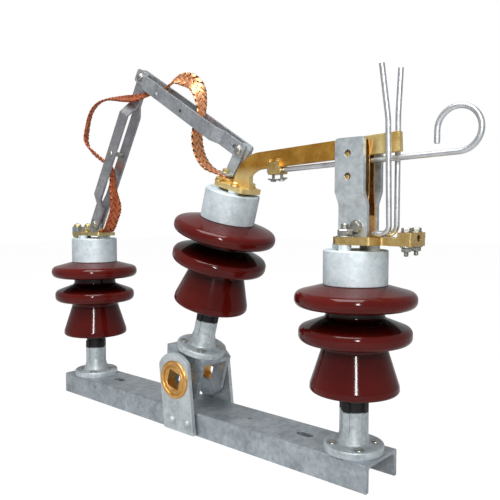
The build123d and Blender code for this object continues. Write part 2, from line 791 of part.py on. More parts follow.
def braid_sections():
    """Cross-sections along a smooth curve through the braid's stops, with each one's stop number."""
    stops = braid_stops()
    curve = Spline(*[point for point, _, _ in stops])
    places = [curve.param_at_point(point) for point, _, _ in stops]
    sections = []
    numbers = []
    for number in range(len(stops) - 1):
        span = places[number + 1] - places[number]
        steps = max(1, round(braid_steps * span))
        for step in range(steps + (number == len(stops) - 2)):
            share = step / steps
            place = places[number] + span * share
            run = curve % place
            width = stops[number][1] * (1 - share) + stops[number + 1][1] * share
            turn = stops[number][2] * (1 - share) + stops[number + 1][2] * share
            level = (Vector(0, 1, 0) - run * run.Y).normalized()
            wide = level.rotate(Axis((0, 0, 0), run), turn)
            plane = Plane(origin=curve @ place, x_dir=wide, z_dir=run)
            sections.append(plane * Rectangle(width, braid_thickness))
            numbers.append(number + share)
    return sections, numbers


def braid_piece(sections, numbers, first, last):
    """Ruled ribbon through the cross-sections between two stops."""
    return loft([face for face, number in zip(sections, numbers) if first <= number <= last], ruled=True)


nodes = {
    "base_channel": base_channel(),
    "post_left_foot": left_frame * post_foot(),
    "post_left_porcelain": left_frame * post_porcelain(),
    "post_left_cap": left_frame * post_cap(left_boss_height, 0),
    "post_right_foot": right_frame * post_foot(),
    "post_right_porcelain": right_frame * post_porcelain(),
    "post_right_cap": right_frame * post_cap(right_boss_height, 0),
    "post_centre_foot": centre_frame * post_foot(),
    "post_centre_porcelain": centre_frame * post_porcelain(),
    "post_centre_cap": centre_frame * post_cap(centre_boss_height, 45),
    "rocker_bracket": rocker_bracket(),
    "terminal_left_plate": left_plate(),
    "terminal_left_keeper": keeper(left_clamp_x, left_plate_top, left_plate_width - 4, left_keeper_height),
    "link_anchor": link_anchor(),
    "terminal_right_bar": right_bar(),
    "terminal_right_keeper": keeper(right_clamp_x, right_bar_top, right_clamp_width, right_keeper_height),
    "jaw_block": jaw_block(),
    "horn_fixed": horn_fixed(),
    "blade": blade(),
    "horn_moving": horn_moving(),
    "horn_clamp": horn_clamp(),
    "link_lug": link_lug(),
}
for name, side in (("front", -1), ("rear", 1)):
    nodes["bearing_plate_" + name] = bearing_plate(side)
    nodes["bush_" + name] = bush(side)
    nodes["hub_" + name] = hub(side)
    nodes["jaw_plate_" + name] = jaw_plate(side)
    nodes["contact_leaf_" + name] = contact_leaf(side)
    nodes["lower_link_" + name] = lower_strip(side)
    nodes["upper_link_" + name] = upper_strip(side)
nodes["lower_link_spacer"] = spacer_at(foot, apex, lower_spreads, 0.5)
nodes["upper_link_spacer"] = spacer_at(apex, head, upper_spreads, 0.25, 4.5)
nodes["foot_pin"] = cross_pin(foot, anchor_thickness / 2 + link_thickness + 5)
nodes["apex_pin"] = cross_pin(apex, 2 * link_thickness + 5)
nodes["head_pin"] = cross_pin(head, head_lug_thickness / 2 + link_thickness + 5)
sections, numbers = braid_sections()
nodes["braid_lower"] = braid_piece(sections, numbers, 0, first_split)
nodes["braid_middle"] = braid_piece(sections, numbers, first_split, second_split)
nodes["braid_upper"] = braid_piece(sections, numbers, second_split, len(braid_stops()) - 1)

os.makedirs("parts", exist_ok=True)
for name, shape in nodes.items():
    export_step(shape, "parts/" + name + ".step")
print(len(nodes), "nodes")
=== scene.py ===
import bpy
import math
import numpy as np
from mathutils import Matrix, Vector


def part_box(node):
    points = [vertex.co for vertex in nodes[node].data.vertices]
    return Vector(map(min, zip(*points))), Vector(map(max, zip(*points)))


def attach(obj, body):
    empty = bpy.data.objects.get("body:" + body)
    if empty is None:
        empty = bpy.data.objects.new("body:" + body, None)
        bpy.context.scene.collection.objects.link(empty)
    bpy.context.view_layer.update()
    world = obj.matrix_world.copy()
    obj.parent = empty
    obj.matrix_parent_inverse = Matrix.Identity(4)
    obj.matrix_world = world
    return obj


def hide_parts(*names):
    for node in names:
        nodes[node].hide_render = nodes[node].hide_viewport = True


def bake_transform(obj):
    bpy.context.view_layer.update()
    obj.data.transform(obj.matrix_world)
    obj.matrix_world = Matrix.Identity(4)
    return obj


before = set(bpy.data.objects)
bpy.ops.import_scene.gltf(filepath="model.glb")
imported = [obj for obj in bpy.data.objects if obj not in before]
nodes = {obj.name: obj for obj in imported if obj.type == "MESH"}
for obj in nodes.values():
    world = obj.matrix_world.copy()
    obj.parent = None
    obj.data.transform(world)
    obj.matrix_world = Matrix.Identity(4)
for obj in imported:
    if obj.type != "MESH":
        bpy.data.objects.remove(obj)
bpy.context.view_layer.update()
MM = 0.001  # lengths below are in millimetres unless said otherwise, and become metres with this

# Places that the source of the solids also names
WEB_THICKNESS = 4.5
FLOOR_Z = -34.5
LEFT_POST_X = -278.0
RIGHT_POST_X = 282.0
PIVOT = (-7.0, 46.0)
PIVOT_TO_FOOT = 43.0
TILT = math.radians(15.75)
POST_HEIGHT = 254.0
FOOT_THICKNESS = 9.0
FOOT_HOLE_RADIUS = 28.0
FOOT_HOLE_ANGLE = 45.0
ROCKER_THICKNESS = 7.0
BOSS_CIRCLE = 50.0
CENTRE_BOSS_HEIGHT = 4.0
BLADE_FOOT_THICKNESS = 7.0
TOP_PLATE = POST_HEIGHT + CENTRE_BOSS_HEIGHT + BLADE_FOOT_THICKNESS
LEFT_TOP = 265.0
RIGHT_TOP = 270.5
FOOT_PIN = (-268.0, 280.0)
APEX_PIN = (-128.5, 525.0)
HEAD_OFFSET = 2.0
HEAD_RISE = 61.0
LINK_THICKNESS = 4.0
LOWER_SPREADS = (15.0, 7.0)
UPPER_SPREADS = (16.0, 5.3)
RUNNING_GAP = 0.3
ANCHOR_THICKNESS = 6.0
HEAD_LUG_THICKNESS = 10.0
JAW_X = 286.0
CLAMP_FLOOR = 352.6
CLAMP_TOP = 369.4
BRAID_WIDTH = 25.0
BRAID_THICKNESS = 3.5


def from_centre(x, z):
    """World x and z of a point given in the centre post's own frame."""
    rise = PIVOT_TO_FOOT + z
    return (
        PIVOT[0] + x * math.cos(TILT) + rise * math.sin(TILT),
        PIVOT[1] - x * math.sin(TILT) + rise * math.cos(TILT),
    )


HEAD_PIN = from_centre(HEAD_OFFSET, POST_HEIGHT + HEAD_RISE)

# Camera
camera_data = bpy.data.cameras.new("camera")
camera = bpy.data.objects.new("camera", camera_data)
bpy.context.scene.collection.objects.link(camera)
camera.location = (0.6807, -0.6539, 0.29846)
camera.rotation_euler = (math.radians(86.588), 0.0, math.radians(41.28))
camera_data.lens = 43.58
camera_data.sensor_width = 36.0
camera_data.clip_start = 0.02
bpy.context.scene.camera = camera


# Materials

class Nodes:
    """Small helper that builds one node material."""

    def __init__(self, name):
        self.material = bpy.data.materials.new(name)
        self.material.use_nodes = True
        self.tree = self.material.node_tree
        self.shader = self.tree.nodes["Principled BSDF"]
        self.place = self.add("ShaderNodeTexCoord").outputs["Object"]

    def add(self, kind, **values):
        node = self.tree.nodes.new(kind)
        for key, value in values.items():
            setattr(node, key, value)
        return node

    def link(self, source, target):
        self.tree.links.new(source, target)

    def noise(self, scale, detail=4.0, roughness=0.55, stretch=None):
        node = self.add("ShaderNodeTexNoise")
        node.inputs["Scale"].default_value = scale
        node.inputs["Detail"].default_value = detail
        node.inputs["Roughness"].default_value = roughness
        self.link(self.stretched(stretch), node.inputs["Vector"])
        return node.outputs["Fac"]

    def stretched(self, stretch):
        if stretch is None:
            return self.place
        mapping = self.add("ShaderNodeMapping")
        mapping.inputs["Scale"].default_value = stretch
        self.link(self.place, mapping.inputs["Vector"])
        return mapping.outputs["Vector"]

    def cells(self, scale):
        node = self.add("ShaderNodeTexVoronoi")
        node.inputs["Scale"].default_value = scale
        self.link(self.place, node.inputs["Vector"])
        return node.outputs["Color"]

    def ramp(self, fac, stops):
        node = self.add("ShaderNodeValToRGB")
        ramp = node.color_ramp
        while len(ramp.elements) < len(stops):
            ramp.elements.new(0.5)
        for element, (position, colour) in zip(ramp.elements, stops):
            element.position = position
            element.color = (*colour, 1.0) if isinstance(colour, tuple) else (colour, colour, colour, 1.0)
        self.link(fac, node.inputs["Fac"])
        return node.outputs["Color"]

    def mix(self, fac, a, b, blend="MIX"):
        node = self.add("ShaderNodeMix", data_type="RGBA", blend_type=blend)
        for socket, value in ((node.inputs["Factor"], fac), (node.inputs[6], a), (node.inputs[7], b)):
            if isinstance(value, (int, float)):
                socket.default_value = value if socket.name == "Factor" else (value, value, value, 1.0)
            elif isinstance(value, tuple):
                socket.default_value = (*value, 1.0)
            else:
                self.link(value, socket)
        return node.outputs[2]

    def fade(self, value, start, end):
        """0 up to start and 1 from end on, with an even rise between them."""
        node = self.add("ShaderNodeMapRange")
        node.inputs["From Min"].default_value = start
        node.inputs["From Max"].default_value = end
        self.link(value, node.inputs["Value"])
        return node.outputs["Result"]

    def part_of(self, vector, axis):
        """One coordinate of a vector."""
        split = self.add("ShaderNodeSeparateXYZ")
        self.link(vector, split.inputs[0])
        return split.outputs[axis]

    def axis_fade(self, axis, start, end):
        """Fade along a world axis, in metres."""
        return self.fade(self.part_of(self.place, axis), start, end)

    def bump(self, height, distance, strength=1.0, edge=0.0):
        node = self.add("ShaderNodeBump")
        node.inputs["Strength"].default_value = strength
        node.inputs["Distance"].default_value = distance
        self.link(height, node.inputs["Height"])
        if edge:
            bevel = self.add("ShaderNodeBevel", samples=4)
            bevel.inputs["Radius"].default_value = edge
            self.link(bevel.outputs["Normal"], node.inputs["Normal"])
        self.link(node.outputs["Normal"], self.shader.inputs["Normal"])

    def set(self, **values):
        for key, value in values.items():
            socket = self.shader.inputs[key.replace("_", " ")]
            if isinstance(value, (int, float, tuple)):
                socket.default_value = value
            else:
                self.link(value, socket)
        return self.material


def zinc_nodes(name, dark, mid, bright, spangle=190.0, metallic=0.75, rough=(0.34, 0.55), grime=0.5):
    """Nodes and colour of hot-dip galvanising: faint facets, soft cloudy mottling and darker dirt."""
    m = Nodes(name)
    facets = m.ramp(m.cells(spangle), [(0.0, 0.0), (1.0, 1.0)])
    clouds = m.noise(26.0, 6.0, 0.62)
    base = m.ramp(clouds, [(0.25, dark), (0.5, mid), (0.78, bright)])
    base = m.mix(0.16, base, facets, "OVERLAY")
    dirt = m.ramp(m.noise(70.0, 8.0, 0.7), [(0.52, 0.0), (0.75, 1.0)])
    colour = m.mix(m.mix(grime, (0.0, 0.0, 0.0), dirt), base, tuple(0.45 * c for c in dark))
    speck = m.ramp(m.noise(420.0, 3.0, 0.6), [(0.35, rough[0]), (0.7, rough[1])])
    m.bump(m.mix(0.35, clouds, speck), 0.0006, 0.35, 0.0006)
    m.set(Base_Color=colour, Metallic=metallic, Roughness=speck)
    return m, colour


def zinc(name, *looks):
    return zinc_nodes(name, *looks)[0].material


def metal(name, dark, bright, scale=60.0, rough=(0.22, 0.42)):
    """Turned, cast or plated metal with uneven tarnish."""
    m = Nodes(name)
    stain = m.noise(scale, 7.0, 0.65)
    base = m.ramp(stain, [(0.3, dark), (0.72, bright)])
    grain = m.noise(scale * 9.0, 3.0, 0.6)
    m.bump(m.mix(0.5, stain, grain), 0.0003, 0.5, 0.0004)
    return m.set(Base_Color=base, Metallic=1.0, Roughness=m.ramp(grain, [(0.3, rough[0]), (0.7, rough[1])]))


def glaze():
    """Deep maroon porcelain glaze with a slight ripple, turned near black in the recesses by painted shade.
    """
    m = Nodes("porcelain_glaze")
    base = m.ramp(m.noise(18.0, 4.0, 0.5), [(0.3, (0.056, 0.0028, 0.0020)), (0.75, (0.094, 0.0062, 0.0040))])
    # Ambient occlusion darkens the base colour: painted shade between the sheds and under them.
    painted_recess_shade = m.add("ShaderNodeAmbientOcclusion", samples=8)
    painted_recess_shade.inputs["Distance"].default_value = 0.06
    base = m.mix(1.0, base, m.ramp(painted_recess_shade.outputs["AO"], [(0.3, 0.04), (0.9, 1.0)]), "MULTIPLY")
    m.bump(m.noise(34.0, 2.0, 0.4), 0.0005, 0.15)
    rough = m.ramp(m.noise(55.0, 5.0, 0.6), [(0.3, 0.07), (0.8, 0.15)])
    return m.set(Base_Color=base, Roughness=rough, Specular_IOR_Level=0.22)


def blade_brass():
    """Cast brass: dark ochre along the bar, lighter at its tip as a painted highlight, and lighter on the
    foot plate.
    """
    m = Nodes("blade_brass")
    stain = m.noise(46.0, 8.0, 0.65)
    dull = m.ramp(
        stain, [(0.28, (0.27, 0.125, 0.014)), (0.5, (0.46, 0.225, 0.034)), (0.78, (0.66, 0.39, 0.085))])
    bright = m.ramp(stain, [(0.25, (0.66, 0.44, 0.13)), (0.75, (0.90, 0.74, 0.38))])
    # Lighter brass from here out to the tip is a painted highlight.
    tip_highlight_and_pale_foot = m.mix(m.axis_fade("X", 0.258, 0.285), dull, bright)
    # Lighter brass below this height, on the foot plate.
    tip_highlight_and_pale_foot = m.mix(m.axis_fade("Z", 0.366, 0.352), tip_highlight_and_pale_foot, bright)
    grain = m.noise(150.0, 4.0, 0.6, (0.35, 3.0, 3.0))
    m.bump(m.mix(0.5, stain, grain), 0.0007, 0.5, 0.0008)
    return m.set(Base_Color=tip_highlight_and_pale_foot, Metallic=0.85, Roughness=m.ramp(grain, [(0.3, 0.3), (0.72, 0.5)]))


def copper_braid():
    """Bare copper wire: dull red-brown towards the left terminal, bright orange towards the blade, with
    painted shade where strands dip under others and on their backs.
    """
    m = Nodes("copper_braid")
    depth = m.add("ShaderNodeAttribute", attribute_name="lift").outputs["Fac"]
    strand = m.noise(120.0, 5.0, 0.6)
    old = m.ramp(strand, [(0.3, (0.48, 0.105, 0.040)), (0.75, (0.82, 0.28, 0.13))])
    new = m.ramp(strand, [(0.3, (0.70, 0.27, 0.11)), (0.75, (0.90, 0.48, 0.26))])
    base = m.mix(m.axis_fade("X", -0.105, -0.03), old, new)
    # The lift attribute darkens the copper: painted shade where a strand dips under the other set and on its
    # back.
    shade = m.ramp(depth, [(0.0, 0.30), (0.4, 0.78), (0.8, 1.0)])
    base = m.mix(1.0, base, shade, "MULTIPLY")
    wires = m.noise(900.0, 2.0, 0.5)
    m.bump(wires, 0.0002, 0.5)
    return m.set(Base_Color=base, Metallic=0.9, Roughness=m.ramp(wires, [(0.3, 0.32), (0.7, 0.5)]))


def maths(tree, operation, first, second=0.0):
    """Math node on two sockets or numbers."""
    node = tree.nodes.new("ShaderNodeMath")
    node.operation = operation
    for socket, value in zip(node.inputs, (first, second)):
        if isinstance(value, float):
            socket.default_value = value
        else:
            tree.links.new(value, socket)
    return node.outputs[0]


def seen_share(tree, camera_share, mirror_share):
    """One share for camera rays, another for glossy and transmission rays, and 0 for light on the object."""
    path = tree.nodes.new("ShaderNodeLightPath").outputs
    mirrored = maths(tree, "MAXIMUM", path["Is Glossy Ray"], path["Is Transmission Ray"])
    seen = maths(tree, "MULTIPLY", path["Is Camera Ray"], camera_share)
    return maths(tree, "MAXIMUM", seen, maths(tree, "MULTIPLY", mirrored, mirror_share))


# Where the floor turns from painted shade under the channel to pale, in metres from the middle along each
# axis, and how white it is
PAINTED_SHADE_FADES = (("X", 0.24, 0.29), ("Y", 0.031, 0.037))
FLOOR_WHITE = 0.88
FLOOR_MIRRORED = 0.2


def white_ground():
    """Pale floor: white to the camera and to mirrors, near black under the channel as painted shade, with the
    soft shadow kept.
    """
    m = Nodes("white_ground")
    tree = m.tree
    outside = [
        m.fade(maths(tree, "ABSOLUTE", m.part_of(m.place, axis)), start, end)
        for axis, start, end in PAINTED_SHADE_FADES
    ]
    clear = maths(tree, "MAXIMUM", *outside)
    pale = m.ramp(m.noise(2.0), [(0.3, (0.52, 0.52, 0.53)), (0.7, (0.56, 0.56, 0.56))])
    diffuse = m.add("ShaderNodeBsdfDiffuse")
    # Near black under the channel is painted shade.
    m.link(m.mix(clear, (0.03, 0.03, 0.03), pale), diffuse.inputs["Color"])
    glow = m.add("ShaderNodeEmission")
    glow.inputs["Color"].default_value = (1.0, 1.0, 1.0, 1.0)
    glow.inputs["Strength"].default_value = 1.1
    blend = m.add("ShaderNodeMixShader")
    share = seen_share(tree, FLOOR_WHITE, FLOOR_MIRRORED)
    m.link(maths(tree, "MULTIPLY", clear, share), blend.inputs["Fac"])
    m.link(diffuse.outputs[0], blend.inputs[1])
    m.link(glow.outputs[0], blend.inputs[2])
    m.link(blend.outputs[0], tree.nodes["Material Output"].inputs["Surface"])
    return m.material


FOOT_LOOKS = ((0.34, 0.38, 0.40), (0.48, 0.53, 0.55), (0.62, 0.67, 0.69), 240.0, 0.5, (0.4, 0.6), 0.45)
NECK_START = 0.05
NECK_FULL = 0.0515


def dark_neck(name, axis_point, lean):
    """Foot casting with the black neck just under the bell, measured in metres along the post's axis."""
    m, colour = zinc_nodes(name, *FOOT_LOOKS)
    turn = m.add("ShaderNodeMapping", vector_type="TEXTURE")
    turn.inputs["Location"].default_value = axis_point
    turn.inputs["Rotation"].default_value = (0.0, lean, 0.0)
    m.link(m.place, turn.inputs["Vector"])
    black = m.fade(m.part_of(turn.outputs[0], "Z"), NECK_START, NECK_FULL)
    return m.set(Base_Color=m.mix(black, colour, (0.012, 0.011, 0.012)))


GALVANISED = zinc("galvanised", (0.25, 0.28, 0.31), (0.36, 0.40, 0.43), (0.50, 0.54, 0.57))
LINK_STEEL = zinc("link_steel", (0.24, 0.255, 0.27), (0.36, 0.38, 0.40), (0.50, 0.53, 0.55), 260.0)
LOWER_STEEL = zinc("lower_link_steel", (0.20, 0.20, 0.215), (0.31, 0.31, 0.33), (0.44, 0.445, 0.47), 260.0)
PLATE_ZINC = zinc("plate_zinc", (0.38, 0.43, 0.45), (0.52, 0.57, 0.59), (0.66, 0.71, 0.73), 210.0)
CAP_ZINC = zinc(
    "cap_zinc", (0.42, 0.49, 0.52), (0.57, 0.64, 0.67), (0.70, 0.76, 0.79), 240.0, 0.35, (0.48, 0.66), 0.35)
FOOT_ZINC = zinc("foot_zinc", *FOOT_LOOKS)
ROD_ZINC = metal("rod_zinc", (0.50, 0.52, 0.54), (0.74, 0.76, 0.78), 60.0, (0.34, 0.46))
PORCELAIN = glaze()
BRASS = metal("bright_brass", (0.55, 0.34, 0.09), (0.86, 0.66, 0.30), 70.0)
BLADE = blade_brass()
BRONZE = metal("ring_bronze", (0.55, 0.27, 0.06), (0.80, 0.48, 0.17), 90.0, (0.25, 0.42))
LEAF = metal("leaf_brass", (0.42, 0.22, 0.07), (0.70, 0.45, 0.18), 60.0)
PLATED = metal("plated_steel", (0.22, 0.22, 0.20), (0.60, 0.60, 0.56), 160.0, (0.25, 0.45))
CHROMATE = metal("yellow_chromate", (0.42, 0.30, 0.10), (0.76, 0.64, 0.34), 150.0, (0.25, 0.45))
# Near-black metal for the dome that is the painted shade of a hole in the upper link.
HOLE_SHADE_BLACK = metal("painted_hole_shade", (0.05, 0.045, 0.04), (0.22, 0.20, 0.18), 180.0, (0.35, 0.6))
COPPER = copper_braid()


def paint(name, material):
    mesh = nodes[name].data
    mesh.materials.clear()
    mesh.materials.append(material)


centre_x, centre_z = from_centre(0, 0)
posts = (
    ("left", LEFT_POST_X, 0.0, 0.0),
    ("right", RIGHT_POST_X, 0.0, 0.0),
    ("centre", centre_x, centre_z, TILT),
)
for post, x, z, lean in posts:
    paint(f"post_{post}_foot", dark_neck(f"foot_zinc_{post}", (MM * x, 0.0, MM * z), lean))
    paint(f"post_{post}_porcelain", PORCELAIN)
    paint(f"post_{post}_cap", CAP_ZINC)
finishes = (
    (GALVANISED, ("base_channel", "rocker_bracket", "link_anchor", "terminal_left_keeper")),
    (CHROMATE, ("terminal_left_plate",)),
    (BRASS, ("terminal_right_bar", "terminal_right_keeper", "horn_clamp")),
    (PLATE_ZINC, ("link_lug", "bearing_plate_front", "bearing_plate_rear")),
    (PLATE_ZINC, ("jaw_plate_front", "jaw_plate_rear")),
    (BLADE, ("blade",)),
    (LEAF, ("jaw_block", "contact_leaf_front", "contact_leaf_rear")),
    (BRONZE, ("bush_front", "bush_rear", "hub_front", "hub_rear")),
    (PLATED, ("lower_link_spacer", "upper_link_spacer", "foot_pin", "apex_pin", "head_pin")),
    (LOWER_STEEL, ("lower_link_front", "lower_link_rear")),
    (LINK_STEEL, ("upper_link_front", "upper_link_rear")),
)
for material, names in finishes:
    for name in names:
        paint(name, material)


# Small pieces in mesh code

def add_piece(name, verts, faces, material, body, lifts=None, smooth=40.0):
    """Mesh from points in millimetres. It rides on a CAD body when one is given."""
    mesh = bpy.data.meshes.new(name)
    mesh.from_pydata([tuple(MM * c for c in v) for v in verts], [], faces)
    if lifts is not None:
        mesh.attributes.new("lift", "FLOAT", "POINT").data.foreach_set("value", lifts)
    mesh.materials.append(material)
    mesh.polygons.foreach_set("use_smooth", [True] * len(mesh.polygons))
    mesh.set_sharp_from_angle(angle=math.radians(smooth))
    mesh.update()
    piece = bpy.data.objects.new(name, mesh)
    bpy.context.scene.collection.objects.link(piece)
    if body:
        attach(piece, body)
    return piece


def tube_faces(rows, sides, start=0):
    """Faces of a closed body made of rows of points, each the same number of sides round, with flat ends."""
    faces = []
    for row in range(rows - 1):
        for k in range(sides):
            a = start + row * sides + k
            b = start + row * sides + (k + 1) % sides
            faces.append((a, b, b + sides, a + sides))
    faces.append(tuple(start + k for k in reversed(range(sides))))
    faces.append(tuple(start + (rows - 1) * sides + k for k in range(sides)))
    return faces


def ring(radius, height, sides, turn=0.0):
    step = 2 * math.pi / sides
    angles = [turn + k * step for k in range(sides)]
    return [(radius * math.cos(angle), radius * math.sin(angle), height) for angle in angles]


def turned(profile, sides=32, turn=0.0):
    """Closed body from (radius, height) points, each a ring of the given number of sides."""
    verts = []
    for radius, height in profile:
        verts += ring(max(radius, 0.01), height, sides, turn)
    return verts, tube_faces(len(profile), sides)


def joined(parts):
    verts = []
    faces = []
    for part_verts, part_faces in parts:
        shift = len(verts)
        verts += part_verts
        faces += [tuple(i + shift for i in face) for face in part_faces]
    return verts, faces


def raised(part, height):
    return [(x, y, z + height) for x, y, z in part[0]], part[1]


def hexagon(radius, height, turn=0.0):
    """Nut or bolt head: a six-sided prism with its corners turned off at both ends."""
    edge = 0.14 * radius
    flat = 0.86 * radius
    return turned([(flat, 0.0), (radius, edge), (radius, height - edge), (flat, height)], 6, turn)


def thread(radius, length, pitch=1.25):
    """Bolt end with ridged sides and a small chamfer."""
    root = radius - 0.6 * pitch
    profile = []
    for k in range(int(length / pitch)):
        profile += [(root, k * pitch), (radius, (k + 0.5) * pitch)]
    profile += [(root, length), (0.5 * radius, length + 0.3)]
    return turned(profile, 24)


def washer(radius, thickness):
    return turned([(radius - 0.3, 0.0), (radius, 0.3), (radius, thickness - 0.3), (radius - 0.3, thickness)])


def dome(radius, height):
    """Round head with a soft edge."""
    profile = [(radius, 0.0)]
    for k in range(1, 7):
        angle = k / 6 * math.pi / 2
        profile.append((radius * math.cos(angle), height * math.sin(angle)))
    return turned(profile)


def facing(direction, spin=0.0):
    """Rotation that turns +Z to a direction."""
    return Vector(direction).to_track_quat("Z", "Y").to_matrix().to_4x4() @ Matrix.Rotation(spin, 4, "Z")


def fasten(name, parts, spot, direction, material, body, place=None, spin=0.0):
    """Stack of turned parts standing at a spot and pointing in a direction."""
    verts, faces = joined(parts)
    matrix = (place or Matrix.Identity(4)) @ Matrix.Translation(spot) @ facing(direction, spin)
    return add_piece(name, [tuple(matrix @ Vector(v)) for v in verts], faces, material, body)


centre_place = (
    Matrix.Translation((PIVOT[0], 0.0, PIVOT[1])) @ Matrix.Rotation(TILT, 4, "Y")
    @ Matrix.Translation((0.0, 0.0, PIVOT_TO_FOOT))
)
UP = (0, 0, 1)
DOWN = (0, 0, -1)
FRONT = (0, -1, 0)
REAR = (0, 1, 0)
SIDES = (("front", -1), ("rear", 1))
WASHER_THICKNESS = 1.4


def nut_stack(radius, nut, end, stud):
    """Washer, nut and the bolt end that stands out of it."""
    return [*head_stack(radius, nut), raised(thread(stud, end), WASHER_THICKNESS + nut)]


def head_stack(radius, head):
    """Washer and bolt head, or a bare nut."""
    return [washer(1.15 * radius, WASHER_THICKNESS), raised(hexagon(radius, head), WASHER_THICKNESS)]


# Nuts: radius over corners, height, length and radius of the bolt's end. Heads: radius and height
FOOT_NUT = (7.2, 5.5, 3.0, 4.0)
LEFT_CLAMP_NUT = (6.6, 3.4, 1.6, 3.0)
RIGHT_CLAMP_NUT = (6.4, 5.0, 5.0, 3.0)
RIGHT_CAP_NUT = (9.6, 8.0, 7.0, 5.0)
JAW_NUT = (7.6, 6.0, 5.0, 4.0)
LEFT_CLAMP_HEAD = (6.2, 4.0)
RIGHT_CLAMP_HEAD = (6.0, 4.0)
LEFT_CAP_HEAD = (7.0, 5.0)
JAW_HEAD = (7.6, 5.5)
BLADE_HEAD = (6.0, 4.5)
LUG_HEAD = (5.4, 4.5)

# Screws that hold the three feet down, with low dished heads
FOOT_SCREW = [(6.6, 0.0), (6.9, 0.5), (6.6, 1.2), (5.4, 1.7), (4.4, 1.3), (2.0, 1.4)]
foot_places = {
    "left": (Matrix.Translation((LEFT_POST_X, 0, 0)), "base", WEB_THICKNESS),
    "right": (Matrix.Translation((RIGHT_POST_X, 0, 0)), "base", WEB_THICKNESS),
    "centre": (centre_place, "rocker", ROCKER_THICKNESS),
}
for post, (place, body, grip) in foot_places.items():
    for k in range(4):
        angle = math.radians(FOOT_HOLE_ANGLE + 90 * k)
        x = FOOT_HOLE_RADIUS * math.cos(angle)
        y = FOOT_HOLE_RADIUS * math.sin(angle)
        spot = (x, y, FOOT_THICKNESS)
        fasten(f"foot_screw_{post}_{k}", [turned(FOOT_SCREW)], spot, UP, PLATED, body, place=place)
        spot = (x, y, -grip)
        nut = nut_stack(*FOOT_NUT)
        fasten(f"foot_nut_{post}_{k}", nut, spot, DOWN, PLATED, body, place=place, spin=0.3 * k)

# Round heads that hold the bearing plates to the channel
BEARING_SCREWS_X = (-12.5, 21.0)
BEARING_SCREWS_Z = -17.0
BEARING_FACE = 46.0
BEARING_WASHER = (7.5, 1.2)
BEARING_HEAD = (5.6, 3.6)
for end, side in SIDES:
    for k, x in enumerate(BEARING_SCREWS_X):
        head = [washer(*BEARING_WASHER), raised(dome(*BEARING_HEAD), BEARING_WASHER[1])]
        spot = (x, side * BEARING_FACE, BEARING_SCREWS_Z)
        fasten(f"bearing_screw_{end}_{k}", head, spot, (0, side, 0), FOOT_ZINC, "base")

# Left terminal: clamp bolts and the screws into the cap
LEFT_NUT_X = LEFT_POST_X - 37.0
LEFT_HEAD_X = LEFT_NUT_X - 2.0
LEFT_CLAMP_Y = 11.5
LEFT_KEEPER_TOP = LEFT_TOP + 9.0
LEFT_PLATE_BASE = LEFT_TOP - 6.0
for k, y in enumerate((-LEFT_CLAMP_Y, LEFT_CLAMP_Y)):
    spot = (LEFT_NUT_X, y, LEFT_KEEPER_TOP)
    fasten(f"left_clamp_nut_{k}", nut_stack(*LEFT_CLAMP_NUT), spot, UP, CHROMATE, "base")
    spot = (LEFT_HEAD_X, y, LEFT_PLATE_BASE)
    fasten(f"left_clamp_head_{k}", head_stack(*LEFT_CLAMP_HEAD), spot, DOWN, CHROMATE, "base", spin=0.4)
for k, x in enumerate((LEFT_POST_X + BOSS_CIRCLE / 2, LEFT_POST_X - BOSS_CIRCLE / 2)):
    spot = (x, 0, LEFT_TOP)
    fasten(f"left_cap_screw_{k}", head_stack(*LEFT_CAP_HEAD), spot, UP, CHROMATE, "base", spin=0.2)

# Right terminal: nuts on the cap's bolts, clamp bolts below the bar
RIGHT_CLAMP_X = RIGHT_POST_X + 75.0
RIGHT_CLAMP_Y = 12.5
RIGHT_KEEPER_TOP = RIGHT_TOP + 6.5
RIGHT_BAR_BASE = RIGHT_TOP - 9.5
for k, y in enumerate((-BOSS_CIRCLE / 2, BOSS_CIRCLE / 2)):
    spot = (RIGHT_POST_X, y, RIGHT_TOP)
    fasten(f"right_cap_nut_{k}", nut_stack(*RIGHT_CAP_NUT), spot, UP, PLATED, "base", spin=0.25)
for k, y in enumerate((-RIGHT_CLAMP_Y, RIGHT_CLAMP_Y)):
    spot = (RIGHT_CLAMP_X, y, RIGHT_KEEPER_TOP)
    fasten(f"right_clamp_head_{k}", head_stack(*RIGHT_CLAMP_HEAD), spot, UP, PLATED, "base", spin=0.5)
    spot = (RIGHT_CLAMP_X, y, RIGHT_BAR_BASE)
    fasten(f"right_clamp_nut_{k}", nut_stack(*RIGHT_CLAMP_NUT), spot, DOWN, PLATED, "base", spin=0.1)

# Jaw: foot bolt and the guide pins through the plates' holes
JAW_BOLT_X = JAW_X + 6.5
JAW_BOLT_Z = RIGHT_TOP + 12.3
JAW_FACE = 15.0
JAW_PINS_X = JAW_X - 3.4
JAW_PINS_Z = (RIGHT_TOP + 99.8, RIGHT_TOP + 72.3)
JAW_PIN = [(2.3, -22.4), (2.9, -21.8), (2.9, 21.8), (2.3, 22.4)]
spot = (JAW_BOLT_X, -JAW_FACE, JAW_BOLT_Z)
fasten("jaw_bolt_head", head_stack(*JAW_HEAD), spot, FRONT, PLATED, "base", spin=0.2)
spot = (JAW_BOLT_X, JAW_FACE, JAW_BOLT_Z)
fasten("jaw_bolt_nut", nut_stack(*JAW_NUT), spot, REAR, PLATED, "base")
for k, z in enumerate(JAW_PINS_Z):
    fasten(f"jaw_pin_{k}", [turned(JAW_PIN)], (JAW_PINS_X, 0, z), REAR, BRASS, "base")

